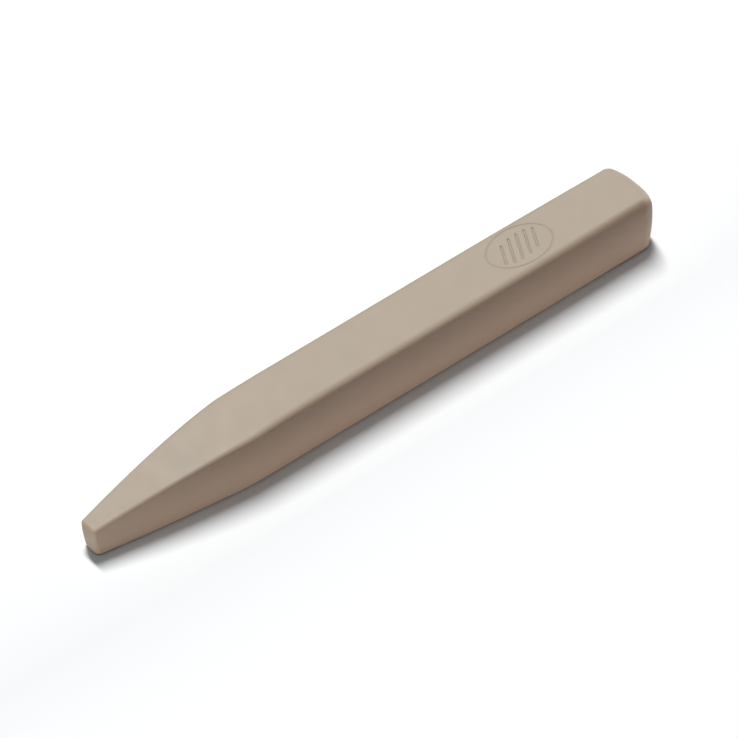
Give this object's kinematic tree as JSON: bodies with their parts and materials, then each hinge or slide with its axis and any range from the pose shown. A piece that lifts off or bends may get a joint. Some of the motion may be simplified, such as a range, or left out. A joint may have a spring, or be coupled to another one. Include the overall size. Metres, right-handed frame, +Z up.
{
  "type": "blending stump",
  "caption": "Square-section moulded rubber blending stick with a four-sided taper to a small blunt tip, a rounded crowned butt and a shallow oval emblem groove in its top face.",
  "frame": {"origin": "on the flat underside, in the middle of the stick's overall length and width", "axes": "+X along the stick from the tapered tip to the butt, +Y across it, +Z up out of the face that carries the emblem"},
  "size_m": [0.1456, 0.014, 0.014],
  "materials": {
    "rubber": "matte"
  },
  "bodies": {
    "root": {"stump_body": "rubber"}
  },
  "joints": []
}
